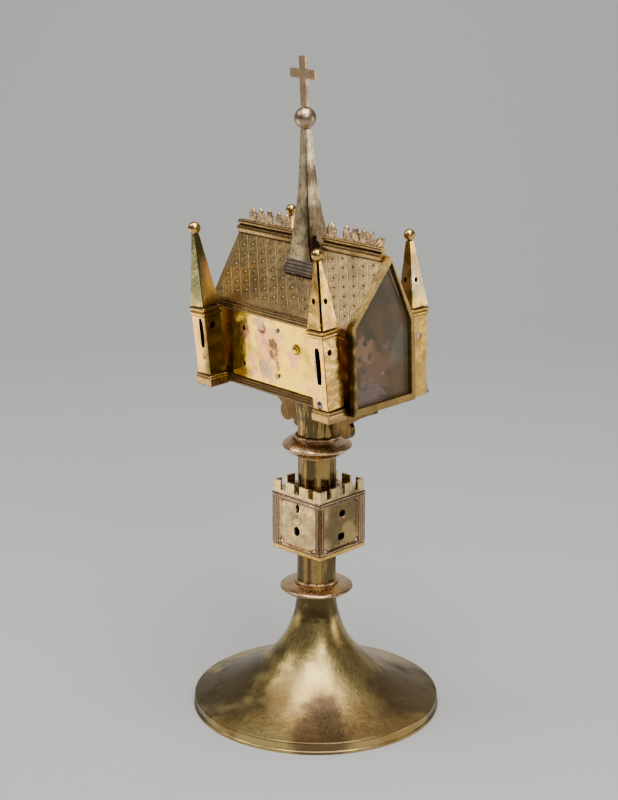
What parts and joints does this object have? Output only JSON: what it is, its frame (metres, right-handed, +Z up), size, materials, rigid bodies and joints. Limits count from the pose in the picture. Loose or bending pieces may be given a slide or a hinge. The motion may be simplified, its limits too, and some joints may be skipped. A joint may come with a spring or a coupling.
{
  "type": "reliquary",
  "caption": "House-shaped gilt copper reliquary with corner turrets and a central spire, on a knopped stem over a round trumpet foot.",
  "frame": {"origin": "centre of the round foot's underside, on the plane that the foot stands on", "axes": "+Z up the stem to the cross, +X towards the glazed gable, along the casket's ridge, -Y towards the long wall with the nail holes and rivets"},
  "size_m": [0.12, 0.12, 0.3162],
  "materials": {
    "gilt": "worn fire gilding over copper, satin",
    "worn_gilt": "gilding worn to brown copper, satin",
    "dark_gilt": "dark olive patina over gilt copper, satin",
    "bare_copper": "brown worn copper with traces of gilding",
    "foot_brass": "greenish gilt, polished by handling, with brown tarnish",
    "silver_solder": "dull silver solder and iron-grey rivets",
    "pane": "clear, slightly uneven"
  },
  "bodies": {
    "root": {"bracket_east": "dark_gilt", "bracket_west": "dark_gilt", "casket_floor": "gilt", "casket_roof": "gilt", "cornice_back": "gilt", "cornice_front": "gilt", "cresting_east": "bare_copper", "cresting_west": "bare_copper", "cross": "bare_copper", "foot": "foot_brass", "gable_frame": "gilt", "gable_pane": "pane", "knop_battlement": "worn_gilt", "knop_body": "worn_gilt", "knop_slab": "worn_gilt", "lower_ring": "worn_gilt", "lower_stem": "worn_gilt", "plinth_back": "gilt", "plinth_front": "gilt", "ridge_bar_east": "bare_copper", "ridge_bar_west": "bare_copper", "solder_remnant": "silver_solder", "spire": "bare_copper", "spire_ball": "bare_copper", "spire_flange_back": "bare_copper", "spire_flange_front": "bare_copper", "top_stem": "dark_gilt", "turret_ball_east_back": "gilt", "turret_ball_east_front": "gilt", "turret_ball_west_back": "gilt", "turret_ball_west_front": "gilt", "turret_base_east_front": "gilt", "turret_base_west_back": "gilt", "turret_base_west_front": "gilt", "turret_body_east_back": "gilt", "turret_body_east_front": "gilt", "turret_body_west_back": "gilt", "turret_body_west_front": "gilt", "turret_cap_east_back": "gilt", "turret_cap_east_front": "gilt", "turret_cap_west_back": "gilt", "turret_cap_west_front": "gilt", "turret_moulding_east_back": "gilt", "turret_moulding_east_front": "gilt", "turret_moulding_west_back": "gilt", "turret_moulding_west_front": "gilt", "upper_ring": "dark_gilt", "upper_stem": "dark_gilt", "wall_back": "gilt", "wall_boss": "gilt", "wall_front": "gilt", "wall_rivet_lower": "silver_solder", "wall_rivet_upper": "silver_solder", "west_gable": "gilt"}
  },
  "joints": []
}
